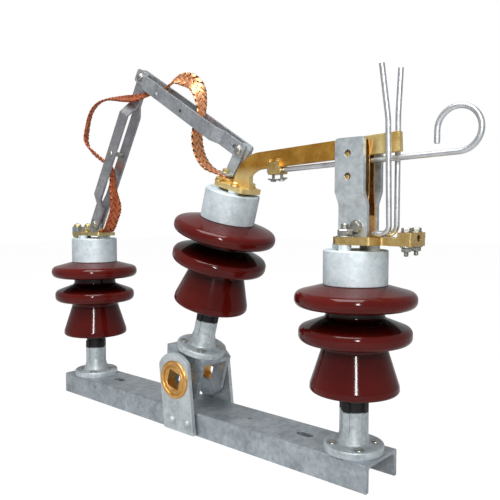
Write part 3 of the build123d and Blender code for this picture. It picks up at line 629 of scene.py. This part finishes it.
# Centre post: screws of the blade's foot plate and of the braid's end
BLADE_SCREWS = ((-15.0, -17.5), (18.0, 17.5), (18.0, -17.5), (-15.0, 17.5))
LUG_SCREW_X = -15.5
LUG_SCREW_Y = 6.8
LUG_TOP = TOP_PLATE + 12.5
for k, (x, y) in enumerate(BLADE_SCREWS):
    head = head_stack(*BLADE_HEAD)
    fasten(f"blade_screw_{k}", head, (x, y, TOP_PLATE), UP, BRASS, "rocker", centre_place, 0.3 * k)
for name, y in (("lug_screw", -LUG_SCREW_Y), ("lug_screw_rear", LUG_SCREW_Y)):
    spot = (LUG_SCREW_X, y, LUG_TOP)
    fasten(name, head_stack(*LUG_HEAD), spot, UP, CHROMATE, "rocker", place=centre_place)

# Horn clamp: two studs through the saddle, held by a thin strap below it
CLAMP_X = 157.0
FLOOR_SLOPE = 0.03
TOP_SLOPE = 0.05
STRAP_DROP = 6.4
STRAP_THICKNESS = 1.4
STRAP_HALF_WIDTH = 5.5
STRAP_BENDS = ((144.0, 1.6), (147.0, 0.0), (157.0, -0.4), (167.0, 0.0), (170.0, 1.6))
STUDS_X = (149.8, 164.2)
SADDLE_NUT_SHIFT = 0.6
SADDLE_NUT_Y = 7.0
stud = [thread(2.2, 9.0, 0.9), raised(washer(4.4, 0.9), 6.2), raised(hexagon(4.1, 2.6), 7.1)]
saddle_nut = [washer(4.2, 0.8), raised(hexagon(3.8, 2.6), 0.8)]
for k, x in enumerate(STUDS_X):
    spot = (x, 0, CLAMP_FLOOR + FLOOR_SLOPE * (x - CLAMP_X))
    fasten(f"horn_clamp_stud_{k}", stud, spot, DOWN, PLATED, "rocker", spin=0.3 * k)
    for end, side in SIDES:
        spot = (x - SADDLE_NUT_SHIFT, side * SADDLE_NUT_Y, CLAMP_TOP + TOP_SLOPE * (x - CLAMP_X))
        fasten(f"horn_clamp_nut_{end}_{k}", saddle_nut, spot, UP, BRASS, "rocker")
verts = []
for x, dip in STRAP_BENDS:
    top = CLAMP_FLOOR - STRAP_DROP + dip + FLOOR_SLOPE * (x - CLAMP_X)
    for y in (-STRAP_HALF_WIDTH, STRAP_HALF_WIDTH):
        verts += [(x, y, top), (x, y, top - STRAP_THICKNESS)]
faces = [(0, 1, 3, 2), (16, 18, 19, 17)]
for n in range(4):
    for a, b in ((0, 2), (2, 3), (3, 1), (1, 0)):
        faces.append((4 * n + a, 4 * n + b, 4 * n + 4 + b, 4 * n + 4 + a))
add_piece("horn_clamp_strap", verts, faces, PLATED, "rocker")

# Link pins: a washer at both ends, a round head in front and a nut at the rear
PIN_WASHER = (7.6, 1.0)
PIN_HEAD = (6.4, 3.2)
PIN_NUT = (6.8, 3.0)
# What the straps hold between them at each pin, and so where their outer faces are
pin_ends = (
    ("foot", FOOT_PIN, ANCHOR_THICKNESS / 2, "lower_link"),
    ("apex", APEX_PIN, LINK_THICKNESS, "lower_link"),
    ("head", HEAD_PIN, HEAD_LUG_THICKNESS / 2, "head_joint"),
)
for name, (x, z), held, body in pin_ends:
    reach = held + RUNNING_GAP + LINK_THICKNESS
    for end, side in SIDES:
        cap = dome(*PIN_HEAD) if side < 0 else hexagon(*PIN_NUT)
        stack = [washer(*PIN_WASHER), raised(cap, PIN_WASHER[1])]
        fasten(f"{name}_pin_{end}", stack, (x, side * reach, z), (0, side, 0), PLATED, body)


def beside(start, end, share, across):
    """World x and z of a point given along and across a link."""
    run = (end[0] - start[0], end[1] - start[1])
    length = math.hypot(*run)
    return (
        start[0] + run[0] * share - run[1] / length * across,
        start[1] + run[1] * share + run[0] / length * across,
    )


# Rivets of the spacers between the straps, on their outer faces, and a near-black dome in the upper link that
# is the painted shade of a hole
LOWER_RIVET = (4.6, 2.2)
UPPER_RIVET = (4.2, 2.0)
HOLE_SHADE_DOT = (2.6, 0.6)
x, z = beside(FOOT_PIN, APEX_PIN, 0.5, 0.0)
for (end, side), spread in zip(SIDES, LOWER_SPREADS):
    spot = (x, side * (spread + LINK_THICKNESS), z)
    fasten(f"lower_link_rivet_{end}", [dome(*LOWER_RIVET)], spot, (0, side, 0), PLATED, "lower_link")
x, z = beside(APEX_PIN, HEAD_PIN, 0.25, -4.5)
for (end, side), spread in zip(SIDES, UPPER_SPREADS):
    spot = (x, side * (spread + LINK_THICKNESS), z)
    fasten(f"upper_link_rivet_{end}", [dome(*UPPER_RIVET)], spot, (0, side, 0), LINK_STEEL, "upper_link")
# Near-black dome on the front strap: painted shade of a hole.
x, z = beside(APEX_PIN, HEAD_PIN, 0.502, -1.2)
spot = (x, -UPPER_SPREADS[0] - LINK_THICKNESS, z)
fasten("upper_link_hole_shade", [dome(*HOLE_SHADE_DOT)], spot, FRONT, HOLE_SHADE_BLACK, "upper_link")

# Arcing horns of round rod
ROD_RADIUS = 3.4
ROD_SIDES = 20
ROD_CHAMFER = 0.6
ARC_STEP = math.radians(7.0)


def rounded_path(points, radii):
    """Points of a path whose corners are turned into arcs of the given radii."""
    path = [Vector(points[0])]
    for before, corner, after, radius in zip(points, points[1:], points[2:], radii):
        corner = Vector(corner)
        back = (Vector(before) - corner).normalized()
        ahead = (Vector(after) - corner).normalized()
        half = back.angle(ahead) / 2
        centre = corner + (back + ahead).normalized() * radius / math.sin(half)
        first = corner + back * radius / math.tan(half) - centre
        last = corner + ahead * radius / math.tan(half) - centre
        steps = max(2, int(first.angle(last) / ARC_STEP))
        for n in range(steps + 1):
            path.append(centre + first.normalized().slerp(last.normalized(), n / steps) * radius)
    path.append(Vector(points[-1]))
    return path


def add_rod(name, path, body, node):
    """Round rod along a path, its ends cut square with a small chamfer. It stands for a CAD node."""
    across = Vector((0.0, 1.0, 0.0))
    if abs((path[1] - path[0]).normalized().y) >= 0.9:
        across = Vector((1.0, 0.0, 0.0))
    rows = []
    for n, point in enumerate(path):
        run = (path[min(n + 1, len(path) - 1)] - path[max(n - 1, 0)]).normalized()
        across = (across - run * across.dot(run)).normalized()
        rows.append((point, run, across.copy(), 1.0))
    first, first_run, first_wide, _ = rows[0]
    last, last_run, last_wide, _ = rows[-1]
    rows = [
        (first, first_run, first_wide, 0.8), (first + first_run * ROD_CHAMFER, first_run, first_wide, 1.0),
        *rows[1:-1],
        (last - last_run * ROD_CHAMFER, last_run, last_wide, 1.0), (last, last_run, last_wide, 0.8),
    ]
    verts = []
    for point, run, wide, size in rows:
        up = run.cross(wide)
        for k in range(ROD_SIDES):
            angle = 2 * math.pi * k / ROD_SIDES
            verts.append(tuple(point + (wide * math.cos(angle) + up * math.sin(angle)) * ROD_RADIUS * size))
    piece = add_piece(name, verts, tube_faces(len(rows), ROD_SIDES), ROD_ZINC, body)
    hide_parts(node)


# Fork over the jaw: two prongs joined at the bar, flaring at the top
HORN_X = RIGHT_POST_X + 50.0
HEEL_X = HORN_X - 20.5
ROD_FLOOR = RIGHT_TOP + 4.0
ROD_TOP = RIGHT_TOP + 202.5
FLARE = RIGHT_TOP + 138.5
FRONT_PRONG = -13.0
REAR_PRONG = 11.5
fork = rounded_path([
    (HORN_X - 6.0, FRONT_PRONG - 6.0, ROD_TOP), (HORN_X, FRONT_PRONG, FLARE),
    (HORN_X + 3.0, FRONT_PRONG, ROD_FLOOR), (HEEL_X, FRONT_PRONG, ROD_FLOOR),
    (HEEL_X, REAR_PRONG, ROD_FLOOR), (HORN_X, REAR_PRONG, ROD_FLOOR),
    (HORN_X, REAR_PRONG, FLARE + 10.0), (HORN_X, REAR_PRONG + 5.0, ROD_TOP),
], [60.0, 10.0, 10.0, 10.0, 10.0, 60.0])
add_rod("arcing_fork", fork, "base", "horn_fixed")

# Rod under the blade, which starts where its solid does and ends in a curl
CURL_X = 412.0
CURL_RADIUS = 25.0
CURL_START = -88.0
CURL_TURN = 267.0
CURL_STEPS = 48
CURL_TAIL = 15.0
ROD_RISE = math.radians(2.0)
SOLID_ROD_RADIUS = 4.0
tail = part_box("horn_moving")[0]
tail_x = tail[0] / MM
tail_z = tail[2] / MM + SOLID_ROD_RADIUS
curl = [
    Vector((tail_x, 0.0, tail_z)), Vector((CURL_X, 0.0, tail_z + (CURL_X - tail_x) * math.tan(ROD_RISE))),
]
middle = curl[1] + Vector((-math.sin(ROD_RISE), 0.0, math.cos(ROD_RISE))) * CURL_RADIUS
for n in range(1, CURL_STEPS + 1):
    angle = math.radians(CURL_TURN * n / CURL_STEPS + CURL_START)
    curl.append(middle + Vector((math.cos(angle), 0.0, math.sin(angle))) * CURL_RADIUS)
curl.append(curl[-1] + Vector((0.0, 0.0, -CURL_TAIL)))
add_rod("arcing_curl", curl, "rocker", "horn_moving")


# Raised rings on the bushes and the hubs
RING_STEPS = 72
RING_SINK = 0.05
RING_CHAMFER = 0.5
RING_EDGE = 1.2
BUSH_RING = (23.2, 28.6, 1.3)
HUB_RING = (16.2, 20.6, 1.0)


def add_ring(name, node, side, inner, outer, crown, body):
    """Crowned ring round the operating shaft's axis, on the outer face of a node: two radii and a height."""
    low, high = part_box(node)
    face = (high[1] if side > 0 else low[1]) / MM
    shoulder = crown * 0.75
    profile = [(inner, 0.0), (inner + RING_CHAMFER, shoulder), (inner + RING_EDGE, crown)]
    profile += [(outer - RING_EDGE, crown), (outer - RING_CHAMFER, shoulder), (outer, 0.0)]
    verts = []
    faces = []
    for k in range(RING_STEPS):
        angle = 2 * math.pi * k / RING_STEPS
        for radius, lift in profile:
            x = PIVOT[0] + radius * math.cos(angle)
            z = PIVOT[1] + radius * math.sin(angle)
            verts.append((x, face + side * (lift - RING_SINK), z))
    rows = len(profile)
    for k in range(RING_STEPS):
        after = (k + 1) % RING_STEPS * rows
        for n in range(rows):
            beyond = (n + 1) % rows
            face_points = (k * rows + n, k * rows + beyond, after + beyond, after + n)
            faces.append(face_points if side > 0 else face_points[::-1])
    add_piece(name, verts, faces, BRONZE, body)


for end, side in SIDES:
    add_ring(f"bush_ring_{end}", f"bush_{end}", side, *BUSH_RING, "base")
    add_ring(f"hub_ring_{end}", f"hub_{end}", side, *HUB_RING, "rocker")

# Woven braid
END_X = LEFT_POST_X + 40.0
SEAT = 10.0

# Stops along a link from its lower pin: shares of its length along and across it, the place from front to
# rear and the width as shares of the braid's width, and the turn about its run in degrees
BRAID_LOWER = [
    (0.106, -0.132, 0, 1, 0), (0.165, -0.131, 0, 1, 0), (0.207, -0.118, -0.04, 0.95, 0),
    (0.249, -0.09, -0.1, 0.75, 0), (0.3, -0.053, -0.16, 0.62, 0), (0.355, -0.02, -0.16, 0.55, 5),
    (0.392, 0.015, -0.16, 0.55, 15), (0.403, 0.062, -0.12, 0.65, 30), (0.395, 0.121, -0.06, 0.8, 38),
    (0.388, 0.233, 0, 0.95, 41), (0.396, 0.327, 0, 0.95, 38), (0.424, 0.37, 0, 0.93, 36),
    (0.478, 0.39, 0, 0.93, 37), (0.542, 0.402, 0, 0.93, 40), (0.596, 0.402, 0, 0.92, 40),
    (0.675, 0.367, 0, 0.9, 32), (0.733, 0.299, -0.04, 0.84, 22), (0.775, 0.223, -0.12, 0.8, 18),
    (0.813, 0.131, -0.28, 0.75, 30), (0.849, 0.037, -0.44, 0.6, 55), (0.894, -0.055, -0.44, 0.6, 60),
    (0.926, -0.095, -0.32, 0.6, 48),
]
BRAID_UPPER = [
    (0.142, -0.051, -0.24, 0.6, 32), (0.197, -0.012, -0.24, 0.6, 20), (0.239, 0.015, -0.24, 0.6, 20),
    (0.274, 0.071, -0.18, 0.65, 36), (0.303, 0.118, -0.08, 0.85, 46), (0.352, 0.143, -0.04, 0.95, 64),
    (0.404, 0.157, 0, 1, 74), (0.454, 0.159, 0, 1, 55), (0.509, 0.141, -0.04, 1, 30),
    (0.571, 0.095, -0.12, 0.85, 14), (0.612, 0.047, -0.2, 0.66, 12), (0.626, 0.008, -0.24, 0.64, 12),
    (0.631, -0.041, -0.24, 0.68, 10), (0.65, -0.096, -0.16, 0.9, 4), (0.687, -0.155, -0.06, 1, 0),
    (0.753, -0.199, 0, 1, 0), (0.838, -0.21, 0, 1, 0), (0.889, -0.199, 0, 1, 0),
]
PAD_LEFT = -22.0
PAD_LENGTH = 20.0
PAD_TOP = TOP_PLATE + 6.0


def braid_stops():
    """Points, widths and turns of the braid's route, as in the solids' source."""
    lie = LEFT_TOP + BRAID_THICKNESS / 2
    stops = [((END_X - SEAT, 0, lie), 1.0, 0.0), ((END_X, 0, lie), 1.0, 0.0)]
    for start, end, table in ((FOOT_PIN, APEX_PIN, BRAID_LOWER), (APEX_PIN, HEAD_PIN, BRAID_UPPER)):
        length = math.dist(start, end)
        for share, across, aside, width, turn in table:
            x, z = beside(start, end, share, across * length)
            stops.append(((x, aside * BRAID_WIDTH, z), width, turn))
    for k in range(3):
        x, z = from_centre(PAD_LEFT + k * PAD_LENGTH / 3, PAD_TOP + BRAID_THICKNESS / 2)
        stops.append(((x, 0, z), 1.0, 0.0))
    return stops


def cubic_through(places, values):
    """Second derivatives of the natural cubic through values at places."""
    count = len(places)
    gaps = np.diff(places)
    matrix = np.eye(count)
    right = np.zeros((count, values.shape[1]))
    for k in range(1, count - 1):
        matrix[k, k - 1:k + 2] = (gaps[k - 1], 2 * (gaps[k - 1] + gaps[k]), gaps[k])
        right[k] = 6 * ((values[k + 1] - values[k]) / gaps[k] - (values[k] - values[k - 1]) / gaps[k - 1])
    return np.linalg.solve(matrix, right)


def braid_line(step):
    """Evenly spaced points of the braid's centre line: place, side, normal, width, stop number and run."""
    stops = braid_stops()
    points = np.array([stop[0] for stop in stops], float)
    places = np.concatenate([[0.0], np.cumsum(np.linalg.norm(np.diff(points, axis=0), axis=1))])
    bend = cubic_through(places, points)

    def at(place):
        k = np.clip(np.searchsorted(places, place) - 1, 0, len(places) - 2)
        gap = places[k + 1] - places[k]
        a = ((places[k + 1] - place) / gap)[:, None]
        b = ((place - places[k]) / gap)[:, None]
        curve = ((a ** 3 - a) * bend[k] + (b ** 3 - b) * bend[k + 1]) * (gap ** 2)[:, None] / 6
        return a * points[k] + b * points[k + 1] + curve

    fine = np.linspace(0, places[-1], 4000)
    line = at(fine)
    run = np.concatenate([[0.0], np.cumsum(np.linalg.norm(np.diff(line, axis=0), axis=1))])
    count = int(run[-1] / step) + 1
    even = np.interp(np.linspace(0, run[-1], count), run, fine)
    centre = at(even)
    tangent = np.gradient(centre, axis=0)
    tangent /= np.linalg.norm(tangent, axis=1)[:, None]
    level = np.array([0.0, 1.0, 0.0]) - tangent * tangent[:, 1:2]
    level /= np.linalg.norm(level, axis=1)[:, None]
    width = np.interp(even, places, [stop[1] * BRAID_WIDTH for stop in stops])
    turn = np.radians(np.interp(even, places, [stop[2] for stop in stops]))[:, None]
    side = level * np.cos(turn) + np.cross(tangent, level) * np.sin(turn)
    number = np.interp(even, places, np.arange(len(stops)))
    return centre, side, np.cross(tangent, side), width, number, np.linspace(0, run[-1], count)


def on_tube(turn, width, thickness):
    """Place and outward direction on a flattened tube's outline, turn being the share of the way round."""
    radius = thickness / 2
    flat = width - thickness
    total = 2 * flat + 2 * math.pi * radius
    way = (turn % 1.0) * total
    arc = math.pi * radius
    on_top = way < flat
    on_edge = (way >= flat) & (way < flat + arc)
    on_back = (way >= flat + arc) & (way < 2 * flat + arc)
    edge = (way - flat) / radius
    far = (way - 2 * flat - arc) / radius
    x = np.select(
        [on_top, on_edge, on_back],
        [way - flat / 2, flat / 2 + radius * np.sin(edge), flat / 2 - (way - flat - arc)],
        -flat / 2 - radius * np.sin(far),
    )
    y = np.select([on_top, on_edge, on_back], [radius, radius * np.cos(edge), -radius], -radius * np.cos(far))
    out_x = np.select([on_top | on_back, on_edge], [0.0, np.sin(edge)], -np.sin(far))
    out_y = np.select([on_top, on_edge, on_back], [1.0, np.cos(edge), -1.0], -np.cos(far))
    return x, y, out_x, out_y


# Weave: strands each way, length of one turn of a strand, its width and wires, how far it rises and dips,
# the height of its wires, of the valleys between them and of its back, and what the strands' middles keep
# from the braid's edges and faces
CARRIERS = 6
LAY_LENGTH = 66.0
STRAND_WIDTH = 5.0
WIRES = 3
LIFT = 0.7
WIRE_CROWN = 0.42
WIRE_VALLEY = 0.16
STRAND_BACK = -0.2
EDGE_INSET = 2.6
FACE_INSET = 2.1

# Steps along the line, steps by which pieces lap at a seam, and the stops at the seams, the second of them
# where the upper piece starts
STEP = 1.6
SEAM_STEPS = 2
LOWER_SPLIT = 7
UPPER_SPLIT = 26
line = braid_line(STEP)


def braid_piece(name, first, last, node):
    """Two sets of flat strands, each passing over two and under two of the other, and its two ends."""
    centre, side, normal, width, number, run = line
    inside = np.nonzero((number >= first) & (number <= last))[0]
    pick = slice(max(inside[0] - SEAM_STEPS, 0), min(inside[-1] + SEAM_STEPS, len(number) - 1) + 1)
    centre, side, normal, width, run = centre[pick], side[pick], normal[pick], width[pick], run[pick]
    count = len(run)
    across = np.linspace(-1, 1, 2 * WIRES + 1)
    hump = np.where(np.arange(2 * WIRES + 1) % 2, WIRE_CROWN, WIRE_VALLEY)
    profile = [*zip(across, hump)] + [(a, STRAND_BACK) for a in across[::-2]]
    half = 0.5 * STRAND_WIDTH * (0.55 + 0.45 * width / BRAID_WIDTH)
    crossing = 2 * CARRIERS * run / LAY_LENGTH
    verts = []
    lifts = []
    faces = []
    for way in (1, -1):
        for k in range(CARRIERS):
            turn = k / CARRIERS + way * run / LAY_LENGTH
            lift = way * LIFT * np.cos(math.pi * (2 * k + way * crossing - 0.5) / 2)
            x, y, out_x, out_y = on_tube(turn, width - EDGE_INSET, BRAID_THICKNESS - FACE_INSET)
            middle = centre + side * (x + out_x * lift)[:, None] + normal * (y + out_y * lift)[:, None]
            out = side * out_x[:, None] + normal * out_y[:, None]
            wide = np.cross(np.gradient(middle, axis=0), out)
            wide /= np.linalg.norm(wide, axis=1)[:, None]
            faces += tube_faces(count, len(profile), len(verts))
            for n in range(count):
                for a, h in profile:
                    verts.append(tuple(middle[n] + wide[n] * a * half[n] + out[n] * h))
                    # This lift value drives the copper's painted shade: lower strand points and strand backs
                    # come out darker.
                    lifts.append(0.45 + 0.45 * lift[n] / LIFT + (h - 0.25) * 0.9)
    piece = add_piece(name, verts, faces, COPPER, None, lifts, 50.0)
    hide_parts(node)
    return piece, [tuple(MM * c for c in p) for p in (centre[0], centre[-1])]


piece, (start, end) = braid_piece("woven_braid_lower", 0, LOWER_SPLIT, "braid_lower")
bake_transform(piece)
piece, (start, end) = braid_piece("woven_braid_middle", LOWER_SPLIT, UPPER_SPLIT, "braid_middle")
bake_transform(piece)
piece, (start, end) = braid_piece("woven_braid_upper", UPPER_SPLIT, len(braid_stops()) - 1, "braid_upper")
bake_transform(piece)


# Floor's reach in metres, and how strong the world is as light, to the camera and in mirrors
FLOOR_REACH = 6.0
WORLD_LIGHT = 0.26
WORLD_WHITE = 1.0
WORLD_MIRRORED = 0.27


def add_ground():
    z = MM * FLOOR_Z
    corners = [(x * FLOOR_REACH, y * FLOOR_REACH, z) for x, y in ((-1, -1), (1, -1), (1, 1), (-1, 1))]
    mesh = bpy.data.meshes.new("ground")
    mesh.from_pydata(corners, [], [(0, 1, 2, 3)])
    mesh.materials.append(white_ground())
    ground = bpy.data.objects.new("ground", mesh)
    bpy.context.scene.collection.objects.link(ground)


def add_lamp(name, spot, aim, wide, tall, power, mirrored=True):
    """Area lamp: its place, what it points at, its size and its power in watts."""
    lamp = bpy.data.lights.new(name, "AREA")
    lamp.shape = "RECTANGLE"
    lamp.size = wide
    lamp.size_y = tall
    lamp.energy = power
    lamp_object = bpy.data.objects.new(name, lamp)
    lamp_object.location = spot
    lamp_object.rotation_euler = (Vector(aim) - Vector(spot)).to_track_quat("-Z", "Y").to_euler()
    lamp_object.visible_glossy = mirrored
    bpy.context.scene.collection.objects.link(lamp_object)


add_ground()
add_lamp("key", (1.63, -1.80, 1.15), (0.05, 0.0, 0.2), 0.2, 0.95, 38.0)
add_lamp("top", (0.25, -0.45, 1.8), (0.0, 0.0, 0.2), 1.1, 1.1, 34.0)
add_lamp("side", (-1.6, -1.2, 0.7), (-0.1, 0.0, 0.25), 1.6, 1.6, 9.0, False)

world = bpy.data.worlds.new("studio")
world.use_nodes = True
bpy.context.scene.world = world
tree = world.node_tree
soft = tree.nodes["Background"]
soft.inputs["Color"].default_value = (0.95, 0.97, 1.0, 1.0)
soft.inputs["Strength"].default_value = WORLD_LIGHT
seen = tree.nodes.new("ShaderNodeBackground")
seen.inputs["Color"].default_value = (1.0, 1.0, 1.0, 1.0)
blend = tree.nodes.new("ShaderNodeMixShader")
tree.links.new(seen_share(tree, WORLD_WHITE, WORLD_MIRRORED), blend.inputs["Fac"])
tree.links.new(soft.outputs[0], blend.inputs[1])
tree.links.new(seen.outputs[0], blend.inputs[2])
tree.links.new(blend.outputs[0], tree.nodes["World Output"].inputs["Surface"])
bpy.context.scene.view_settings.view_transform = "Standard"
